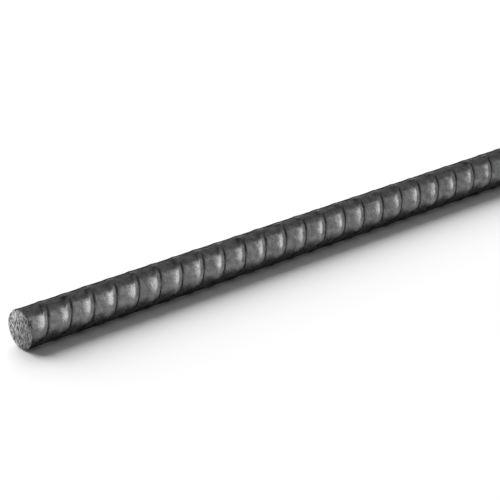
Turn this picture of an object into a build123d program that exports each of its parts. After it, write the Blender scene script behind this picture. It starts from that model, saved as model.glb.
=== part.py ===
from build123d import *
from math import acos, atan2, degrees, hypot, radians, tan
import os

# Deformed reinforcing bar: one hot-rolled length of steel, sawn square at both ends.
# The rolls meet along two lines and leave a low lengthwise rib at each. The bar runs
# along X, turned as it lies on a level floor, and its origin is on its axis at
# mid-length. The cross ribs on the barrel are fine relief and aren't in this solid.

# Driving dimensions, in millimetres
bar_length = 609.6
barrel_diameter = 12.3
rib_height = 0.4
rib_crest_width = 1.2
rib_root_radius = 0.3
rib_crest_radius = 0.3
cut_edge_bevel = 0.15

# Slope of a lengthwise rib's flanks in degrees, and how many such ribs there are
rib_flank_slope = 45
rib_count = 2

# How far the bar has rolled on once its lower rib is off the floor, in degrees
roll_past_rib = 6

# A lengthwise rib is sunk into the barrel as deep as it stands above it
barrel_radius = barrel_diameter / 2
rib_depth = 2 * rib_height
rib_foot_width = rib_crest_width + 2 * rib_depth / tan(radians(rib_flank_slope))

# The rounded corner of a rib's crest is the last of it to leave the floor as the bar
# rolls. The corner's centre, measured along and across the rib, gives how far that rib
# then leans from straight down. The bar lies a little past that, on its barrel.
corner_along = barrel_radius + rib_height - rib_crest_radius
corner_across = rib_crest_width / 2 - rib_crest_radius * tan(radians(rib_flank_slope) / 2)
corner_reach = hypot(corner_along, corner_across)
lean_off_floor = degrees(
    atan2(corner_across, corner_along) + acos((barrel_radius - rib_crest_radius) / corner_reach)
)
rest_lean = lean_off_floor + roll_past_rib

# The section: the round barrel and its lengthwise ribs, blended in as rolled
with BuildPart() as reinforcing_bar:
    with BuildSketch(Plane.YZ.rotated((90 - rest_lean, 0, 0))) as section:
        Circle(barrel_radius)
        with PolarLocations(barrel_radius, rib_count):
            Trapezoid(rib_foot_width, rib_depth, rib_flank_slope, rotation=-90)
        crest_corners = section.vertices().group_by(SortBy.DISTANCE)[-1]
        fillet(crest_corners, rib_crest_radius)
        rib_roots = section.vertices().group_by(SortBy.DISTANCE)[0]
        fillet(rib_roots, rib_root_radius)
    extrude(amount=bar_length / 2, both=True)

    # The saw leaves a slightly broken edge round each cut end
    edges_along_bar = reinforcing_bar.edges().group_by(Axis.X)
    chamfer(edges_along_bar[0] + edges_along_bar[-1], cut_edge_bevel)

os.makedirs("parts", exist_ok=True)
export_step(reinforcing_bar.part, "parts/reinforcing_bar.step")
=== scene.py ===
import math

import bmesh
import bpy
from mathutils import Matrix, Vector, noise


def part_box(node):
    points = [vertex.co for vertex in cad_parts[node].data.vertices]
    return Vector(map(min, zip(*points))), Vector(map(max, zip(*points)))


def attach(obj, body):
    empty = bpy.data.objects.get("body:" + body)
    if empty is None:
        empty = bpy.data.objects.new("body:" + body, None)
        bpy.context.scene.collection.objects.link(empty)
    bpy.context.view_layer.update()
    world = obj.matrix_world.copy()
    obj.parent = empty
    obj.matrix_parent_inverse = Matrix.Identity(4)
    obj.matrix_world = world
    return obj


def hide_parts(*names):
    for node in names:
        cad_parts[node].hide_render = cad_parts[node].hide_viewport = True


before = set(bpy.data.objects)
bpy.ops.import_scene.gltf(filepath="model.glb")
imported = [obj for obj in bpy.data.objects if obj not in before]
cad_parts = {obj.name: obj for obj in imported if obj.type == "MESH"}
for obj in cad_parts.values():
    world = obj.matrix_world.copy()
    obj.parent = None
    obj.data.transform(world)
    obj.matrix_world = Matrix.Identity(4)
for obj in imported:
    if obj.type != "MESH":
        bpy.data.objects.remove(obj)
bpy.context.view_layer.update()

# The bar: a length of half-inch deformed bar, hot-rolled from one billet of steel. The
# two rolls leave a low lengthwise rib along each line where they meet, here called a seam,
# and the grooves cut across them raise a slanted cross rib on both faces at every pitch.
mm = 0.001
bar_low, bar_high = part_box("reinforcing_bar")
bar_length = bar_high.x - bar_low.x
barrel_radius = 6.15 * mm
seam_lean = math.radians(31.4)
rib_pitch = 8.85 * mm
rib_slant = 2.43 * mm
first_rib = 6.0 * mm

# Across the bar as it lies, up_seam points to the upper seam and up_face to the middle of
# the face that looks towards the camera
up_seam = Vector((0, math.sin(seam_lean), math.cos(seam_lean)))
up_face = Vector((0, -math.cos(seam_lean), math.sin(seam_lean)))

# The mesh of one pitch: points round the barrel, crowded at the seams, and rings at these
# distances past the crest of a cross rib and before the crest of the next
ring_points = 68
ring_crowding = 0.55
past_crest_mm = (0, 0.45, 0.6, 0.8, 1.1, 1.5, 1.85, 2.05, 3.0)
before_crest_mm = (4.2, 3.3, 2.6, 2.0, 1.5, 1.1, 0.8, 0.5, 0)
stations = [past * mm for past in past_crest_mm]
stations += [rib_pitch - before * mm for before in before_crest_mm]


def crowded(share, pull):
    """Draws evenly spread points towards the whole numbers, where the seams are."""
    return share - pull * math.sin(math.tau * share) / math.tau


def drawn_out(bar, ring, distance):
    """Draws a ring of edges out along the bar, and gives the new corners and edges."""
    grown = bmesh.ops.extrude_edge_only(bar, edges=ring)["geom"]
    corners = [item for item in grown if isinstance(item, bmesh.types.BMVert)]
    edges = [item for item in grown if isinstance(item, bmesh.types.BMEdge) and item.is_boundary]
    bmesh.ops.translate(bar, verts=corners, vec=(distance, 0, 0))
    return corners, edges


bar = bmesh.new()
bmesh.ops.create_circle(bar, segments=ring_points, radius=barrel_radius)
for point, vert in enumerate(bar.verts):
    angle = math.pi * crowded(2 * point / ring_points, ring_crowding)
    vert.co = barrel_radius * (math.cos(angle) * up_seam + math.sin(angle) * up_face)
ring = bar.edges[:]
for here, there in zip(stations, stations[1:]):
    corners, ring = drawn_out(bar, ring, there - here)

# What the rolls raise: a cross rib climbs slowly to its crest and drops sharply past it.
# Between rib_ending and rib_ended from a seam it gets lower and its drop longer, and it
# swells the seam that it meets. The higher merge_power is, the sharper they meet.
rib_height = 0.75 * mm
rib_crest = 0.6 * mm
rib_rise = 4.2 * mm
rise_sweep = 2.8
rib_drop = 1.95 * mm
drop_sweep = 1
rib_ending = 5.2 * mm
rib_ended = 1.8 * mm
rib_end_share = 0.32
rib_end_drop = 4.6 * mm
seam_height = 0.4 * mm
seam_crest = 0.45 * mm
seam_foot = 1.1 * mm
seam_sweep = 2
seam_swell = 0.12 * mm
seam_swell_half = 2.4 * mm
merge_power = 4


def eased(share):
    """Turns an even run from 0 to 1 into one that starts and stops softly."""
    share = min(max(share, 0), 1)
    return share * share * (3 - 2 * share)


def faded(distance, half):
    """Height of a soft hump at a distance from its middle, from 1 there to 0 at its edge."""
    return eased(1 - abs(distance) / half)


def crest_share(distance, crest, foot, sweep):
    """Height of a rib at a distance from its middle, from 1 on its crest to 0 at its foot."""
    down = min(max((distance - crest) / (foot - crest), 0), 1)
    return (1 - down) ** sweep


def off_nearest(past_crest):
    """Distance past the nearest crest, below zero where the next crest is the nearer."""
    return past_crest if past_crest < rib_pitch / 2 else past_crest - rib_pitch


def raised(past_crest, from_seam):
    """Height of the ribs over the barrel."""
    ending = eased((rib_ending - from_seam) / (rib_ending - rib_ended))
    drop_foot = rib_drop + (rib_end_drop - rib_drop) * ending
    drop = crest_share(past_crest, rib_crest, drop_foot, drop_sweep)
    rise = crest_share(rib_pitch - past_crest, rib_crest, rib_rise, rise_sweep)
    rib = rib_height * max(drop, rise) * (1 - (1 - rib_end_share) * ending)
    swell = seam_swell * faded(off_nearest(past_crest), seam_swell_half)
    seam = (seam_height + swell) * crest_share(from_seam, seam_crest, seam_foot, seam_sweep)
    return (seam ** merge_power + rib ** merge_power) ** (1 / merge_power)


# Painted shade: dark patches painted into the scale's colour stand in for shade along
# each seam, in a band beside it and in a patch on each end of a cross rib, just before
# its crest. Each has the distance of its middle from the seam and half its width.
dark_seam = 1.3 * mm
dark_seam_half = 2.0 * mm
dark_seam_share = 0.9
dark_band = 4.9 * mm
dark_band_half = 2.1 * mm
dark_band_share = 0.36
dark_patch = 3.7 * mm
dark_patch_half = 3.2 * mm
dark_patch_before_crest = 0.4 * mm
dark_patch_along = 2.6 * mm


def painted_shade_share(past_crest, from_seam):
    """Share of painted shade put on the scale's colour."""
    seam = dark_seam_share * faded(from_seam - dark_seam, dark_seam_half)
    band = dark_band_share * faded(from_seam - dark_band, dark_band_half)
    patch = faded(from_seam - dark_patch, dark_patch_half)
    patch *= faded(off_nearest(past_crest) + dark_patch_before_crest, dark_patch_along)
    return max(seam, band, patch)


# Each corner of the mesh keeps its share of painted shade, which darkens the scale's colour
painted_shade = bar.verts.layers.float.new("painted_shade")
spare_pitches = 2
rolled_from = bar_low.x + first_rib - spare_pitches * rib_pitch
for vert in bar.verts:
    turn = abs(math.atan2(vert.co.dot(up_face), vert.co.dot(up_seam)))
    from_seam = barrel_radius * min(turn, math.pi - turn)
    vert[painted_shade] = painted_shade_share(vert.co.x, from_seam)
    vert.co.yz *= (barrel_radius + raised(vert.co.x, from_seam)) / barrel_radius
    vert.co.x += rolled_from + rib_slant * (math.pi / 2 - turn)

# The pitch is repeated past both ends of the bar, and the whole length is faintly wavy, as
# rolled steel is
pitches = math.ceil(bar_length / rib_pitch) + spare_pitches
merge_reach = 0.001 * mm
roll_wave = 7.0 * mm
roll_wave_height = 0.05 * mm
skin_wave = 2.2 * mm
skin_wave_height = 0.025 * mm
bmesh.ops.spin(
    bar,
    geom=bar.verts[:] + bar.edges[:] + bar.faces[:],
    axis=(1, 0, 0),
    dvec=(rib_pitch, 0, 0),
    steps=pitches - 1,
    use_duplicate=True,
)
bmesh.ops.remove_doubles(bar, verts=bar.verts, dist=merge_reach)
for vert in bar.verts:
    wave = noise.noise(vert.co / roll_wave) * roll_wave_height
    wave += noise.noise(vert.co / skin_wave) * skin_wave_height
    vert.co.yz *= (barrel_radius + wave) / barrel_radius

# Each end is sawn square, and the saw pushes a low, ragged burr out over the barrel
burr_radius = 6.42 * mm
burr_ragged = 0.12 * mm
burr_depth = 0.6 * mm
burr_lip = 0.15 * mm
burr_bevel = 0.2 * mm
burr_wave = 2.5 * mm
cut_reach = 0.0001 * mm
for end in (-1, 1):
    cut = bmesh.ops.bisect_plane(
        bar,
        geom=bar.verts[:] + bar.edges[:] + bar.faces[:],
        dist=cut_reach,
        plane_co=(end * (bar_length / 2 - burr_depth), 0, 0),
        plane_no=(end, 0, 0),
        clear_outer=True,
    )["geom_cut"]
    rim = [item for item in cut if isinstance(item, bmesh.types.BMEdge)]
    for step in (burr_depth - burr_lip - burr_bevel, burr_lip):
        corners, rim = drawn_out(bar, rim, end * step)
        for vert in corners:
            edge_radius = burr_radius + burr_ragged * noise.noise(vert.co / burr_wave)
            vert.co.yz *= max(edge_radius / vert.co.yz.length, 1)
    sawn = bmesh.ops.contextual_create(bar, geom=rim)["faces"]
    lip = [face for edge in rim for face in edge.link_faces]
    bevel = bmesh.ops.inset_region(
        bar,
        faces=sawn,
        thickness=burr_bevel,
        depth=burr_bevel,
        use_even_offset=True,
    )["faces"]
    for face in sawn + lip + bevel:
        face.material_index = 1
    for edge in {edge for face in bevel for edge in face.edges}:
        edge.smooth = False
bmesh.ops.recalc_face_normals(bar, faces=bar.faces)
for face in bar.faces:
    face.smooth = True


def put_in_scene(shape, name):
    """Turns a finished shape into an object of the scene."""
    mesh = bpy.data.meshes.new(name)
    shape.to_mesh(mesh)
    shape.free()
    piece = bpy.data.objects.new(name, mesh)
    bpy.context.collection.objects.link(piece)
    return piece


ribbed_bar = put_in_scene(bar, "ribbed_bar")
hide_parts("reinforcing_bar")
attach(ribbed_bar, "root")


def linear(colour):
    """Turns an sRGB hex colour into linear red, green, blue and alpha."""
    parts = [int(colour[place:place + 2], 16) / 255 for place in (1, 3, 5)]
    return [p / 12.92 if p <= 0.04045 else ((p + 0.055) / 1.055) ** 2.4 for p in parts] + [1]


def blank_material(name):
    """A material with no nodes yet."""
    material = bpy.data.materials.new(name)
    material.use_nodes = True
    material.node_tree.nodes.clear()
    return material


def add(material, kind, inputs=(), **settings):
    """Adds a node of a kind, with its settings, and sets or links its inputs."""
    tree = material.node_tree
    node = tree.nodes.new(kind)
    for name, value in settings.items():
        setattr(node, name, value)
    for name, value in dict(inputs).items():
        if isinstance(value, bpy.types.NodeSocket):
            tree.links.new(value, node.inputs[name])
        else:
            node.inputs[name].default_value = value
    return node


# Hot-rolled steel under mill scale: a dark grey skin of iron oxide that took the polish
# of the rolls. It shines like a dull metal, a little patchy, with a fine scaly grain that
# runs round the bar. The real grain is too fine to show, so it is drawn coarser here.
patch_size = 2.0 * mm
shade_breakup_size = 2.6 * mm
grain_width = 0.45 * mm
grain_length = 1.6 * mm
grain_depth = 0.12 * mm
dull_scale = "#5d5d5d"
polished_scale = "#808080"
painted_shade_colour = "#2a2a2a"
scale_at_low_angles = "#c8c8c8"
mill_scale = blank_material("hot_rolled_mill_scale")
place = add(mill_scale, "ShaderNodeTexCoord").outputs["Object"]
patches = add(
    mill_scale,
    "ShaderNodeTexNoise",
    {"Vector": place, "Scale": 1 / patch_size, "Detail": 4, "Roughness": 0.6},
).outputs["Fac"]
blotches = add(
    mill_scale,
    "ShaderNodeMapRange",
    {"Value": patches, "From Min": 0.32, "From Max": 0.68},
).outputs["Result"]
scale_tint = add(
    mill_scale,
    "ShaderNodeMix",
    {"Factor": blotches, "A": linear(dull_scale), "B": linear(polished_scale)},
    data_type="RGBA",
).outputs["Result"]
# Painted shade: the dark colour is painted in where the mesh asks for it, broken up by noise
shade_breakup = add(
    mill_scale,
    "ShaderNodeTexNoise",
    {"Vector": place, "Scale": 1 / shade_breakup_size, "Detail": 3, "Roughness": 0.6},
).outputs["Fac"]
uneven_shade = add(
    mill_scale,
    "ShaderNodeMapRange",
    {"Value": shade_breakup, "From Min": 0.41, "From Max": 0.56, "To Min": 0.2, "To Max": 1},
).outputs["Result"]
shade_from_mesh = add(mill_scale, "ShaderNodeAttribute", attribute_name="painted_shade").outputs["Fac"]
painted_shade_mask = add(
    mill_scale,
    "ShaderNodeMath",
    {0: uneven_shade, 1: shade_from_mesh},
    operation="MULTIPLY",
).outputs["Value"]
tint_with_painted_shade = add(
    mill_scale,
    "ShaderNodeMix",
    {"Factor": painted_shade_mask, "A": scale_tint, "B": linear(painted_shade_colour)},
    data_type="RGBA",
).outputs["Result"]
round_the_bar = add(
    mill_scale,
    "ShaderNodeMapping",
    {"Vector": place, "Scale": (1 / grain_width, 1 / grain_length, 1 / grain_length)},
).outputs["Vector"]
grain = add(
    mill_scale,
    "ShaderNodeTexNoise",
    {"Vector": round_the_bar, "Scale": 1, "Detail": 3, "Roughness": 0.65},
).outputs["Fac"]
polish = add(
    mill_scale,
    "ShaderNodeMapRange",
    {"Value": grain, "From Min": 0.3, "From Max": 0.7, "To Min": 0.22, "To Max": 0.36},
).outputs["Result"]
scaliness = add(
    mill_scale,
    "ShaderNodeMapRange",
    {"Value": blotches, "To Min": 0.35, "To Max": 1},
).outputs["Result"]
scaly = add(
    mill_scale,
    "ShaderNodeBump",
    {"Height": grain, "Strength": scaliness, "Distance": grain_depth},
).outputs["Normal"]
scale_skin = add(
    mill_scale,
    "ShaderNodeBsdfPrincipled",
    {
        "Base Color": tint_with_painted_shade,
        "Metallic": 1,
        "Roughness": polish,
        "Specular Tint": linear(scale_at_low_angles),
        "Normal": scaly,
    },
).outputs["BSDF"]
add(mill_scale, "ShaderNodeOutputMaterial", {"Surface": scale_skin})
ribbed_bar.data.materials.append(mill_scale)

# Sawn steel: bare bright metal, torn and scored by the saw's teeth in short, shallow strokes
# that cross each other. A painted sheen lightens its colour towards the far, upper side of the
# cut.
# The real strokes are too fine to show, so they are drawn coarser here.
stroke_width = 0.42 * mm
stroke_length = 1.1 * mm
stroke_depth = 0.12 * mm
stroke_leans = (math.radians(-48), math.radians(40))
painted_sheen_way = (0, 1.5, 0.3)
scored_steel = "#282828"
bright_steel = "#dedede"
sawn_steel = blank_material("sawn_steel")
place = add(sawn_steel, "ShaderNodeTexCoord").outputs["Object"]
strokes = []
for lean in stroke_leans:
    along_strokes = add(
        sawn_steel,
        "ShaderNodeMapping",
        {
            "Vector": place,
            "Rotation": (lean, 0, 0),
            "Scale": (1 / stroke_width, 1 / stroke_width, 1 / stroke_length),
        },
    ).outputs["Vector"]
    strokes.append(add(
        sawn_steel,
        "ShaderNodeTexNoise",
        {"Vector": along_strokes, "Scale": 1, "Detail": 3, "Roughness": 0.65},
    ).outputs["Fac"])
crossed = add(
    sawn_steel,
    "ShaderNodeMath",
    {0: strokes[0], 1: strokes[1]},
    operation="MULTIPLY",
).outputs["Value"]
scoring = add(
    sawn_steel,
    "ShaderNodeMapRange",
    {"Value": crossed, "From Min": 0.18, "From Max": 0.32},
).outputs["Result"]
# Painted sheen: the cut's colour is painted lighter towards its far, upper side
up_the_cut = add(
    sawn_steel,
    "ShaderNodeVectorMath",
    {0: place, 1: painted_sheen_way},
    operation="DOT_PRODUCT",
).outputs["Value"]
painted_sheen = add(
    sawn_steel,
    "ShaderNodeMapRange",
    {
        "Value": up_the_cut,
        "From Min": -barrel_radius,
        "From Max": barrel_radius,
        "To Min": 0.4,
        "To Max": 1,
    },
).outputs["Result"]
scoring_and_painted_sheen = add(
    sawn_steel,
    "ShaderNodeMath",
    {0: scoring, 1: painted_sheen},
    operation="MULTIPLY",
).outputs["Value"]
cut_tint = add(
    sawn_steel,
    "ShaderNodeMix",
    {"Factor": scoring_and_painted_sheen, "A": linear(scored_steel), "B": linear(bright_steel)},
    data_type="RGBA",
).outputs["Result"]
scored = add(
    sawn_steel,
    "ShaderNodeBump",
    {"Height": scoring, "Strength": 1, "Distance": stroke_depth},
).outputs["Normal"]
cut_skin = add(
    sawn_steel,
    "ShaderNodeBsdfPrincipled",
    {"Base Color": cut_tint, "Metallic": 0.9, "Roughness": 0.45, "Normal": scored},
).outputs["BSDF"]
add(sawn_steel, "ShaderNodeOutputMaterial", {"Surface": cut_skin})
ribbed_bar.data.materials.append(sawn_steel)

# The floor: a plain studio floor in matt white paint. The bar lies on it with the tips of
# its ribs, and it keeps the bar's soft shadow.
floor_half = 10.0
floor_white = "#f7f7f7"
floor = bmesh.new()
bmesh.ops.create_grid(floor, x_segments=1, y_segments=1, size=floor_half)
lowest = min(vert.co.z for vert in ribbed_bar.data.vertices)
bmesh.ops.translate(floor, verts=floor.verts, vec=(0, 0, lowest))
studio_floor = put_in_scene(floor, "studio_floor")
white_paint = blank_material("matt_white_paint")
white_skin = add(
    white_paint,
    "ShaderNodeBsdfDiffuse",
    {"Color": linear(floor_white)},
).outputs["BSDF"]
add(white_paint, "ShaderNodeOutputMaterial", {"Surface": white_skin})
studio_floor.data.materials.append(white_paint)

# The lights: soft panels in a dim grey room, which light the bar alone. Each is given by
# its middle, the point it faces, its width, its height, all in metres, and how bright its
# surface is.
panels = {
    "front_panel": ((1.45, -1.50, 1.38), (1.45, -0.12, 0.0), 3.0, 3.6, 0.63),
    "key_panel": ((-0.82, -1.25, 1.51), (-0.82, 0.09, 0.08), 1.04, 2.4, 4.0),
    "key_edge_panel": ((-0.02, -1.25, 1.51), (-0.02, 0.09, 0.08), 0.56, 2.4, 1.2),
    "low_key_panel": ((-0.70, -1.92, 0.30), (-0.70, 0.0, 0.0), 1.3, 0.78, 1.0),
    "end_panel": ((-2.45, -0.30, 1.80), (-0.2, 0.0, 0.0), 1.5, 1.5, 3.8),
    "back_panel": ((2.1, 1.50, 1.38), (2.1, 0.12, 0.0), 4.0, 3.6, 0.24),
    "back_band_panel": ((1.3, 1.82, 1.06), (1.3, 0.76, 0.0), 2.0, 1.26, 0.3),
}
bar_alone = bpy.data.collections.new("bar_alone")
bar_alone.objects.link(ribbed_bar)
for name, (middle, aim, width, height, radiance) in panels.items():
    lamp = bpy.data.lights.new(name, "AREA")
    lamp.shape = "RECTANGLE"
    lamp.size = width
    lamp.size_y = height
    lamp.energy = radiance * math.pi * width * height
    panel = bpy.data.objects.new(name, lamp)
    panel.location = middle
    panel.rotation_euler = (Vector(aim) - Vector(middle)).to_track_quat("-Z", "Y").to_euler()
    panel.visible_camera = False
    panel.light_linking.receiver_collection = bar_alone
    bpy.context.collection.objects.link(panel)
room_grey = "#7a7a7a"
room = bpy.data.worlds.new("grey_room")
room.use_nodes = True
room.node_tree.nodes["Background"].inputs["Color"].default_value = linear(room_grey)
bpy.context.scene.world = room

# The floor has a broad light of its own, from behind the bar, so that it is white while
# the bar is lit at a plain level
floor_alone = bpy.data.collections.new("floor_alone")
floor_alone.objects.link(studio_floor)
floor_light = bpy.data.objects.new("floor_light", bpy.data.lights.new("floor_light", "SUN"))
floor_light.data.angle = math.radians(80)
floor_light.data.energy = 4.6
floor_light.rotation_euler = (math.radians(-51), 0, 0)
floor_light.light_linking.receiver_collection = floor_alone
bpy.context.collection.objects.link(floor_light)

# The camera: a long lens, close to the sawn near end and looking down along the bar.
camera_turn = math.radians(-39.8)
camera_height = math.radians(23.98)
camera_distance = 0.7676
aim_past_end = 93.3 * mm
aim_over_axis = 0.69 * mm
camera_aim = Vector((bar_low.x + aim_past_end, 0, aim_over_axis))
back = Vector((
    math.sin(camera_turn) * math.cos(camera_height),
    -math.cos(camera_turn) * math.cos(camera_height),
    math.sin(camera_height),
))
camera = bpy.data.objects.new("camera", bpy.data.cameras.new("camera"))
camera.data.lens = 165.0
camera.data.sensor_width = 36
camera.data.clip_start = 0.01
camera.location = camera_aim + camera_distance * back
camera.rotation_euler = (-back).to_track_quat("-Z", "Y").to_euler()
bpy.context.collection.objects.link(camera)
bpy.context.scene.camera = camera
bpy.context.scene.view_settings.view_transform = "Standard"
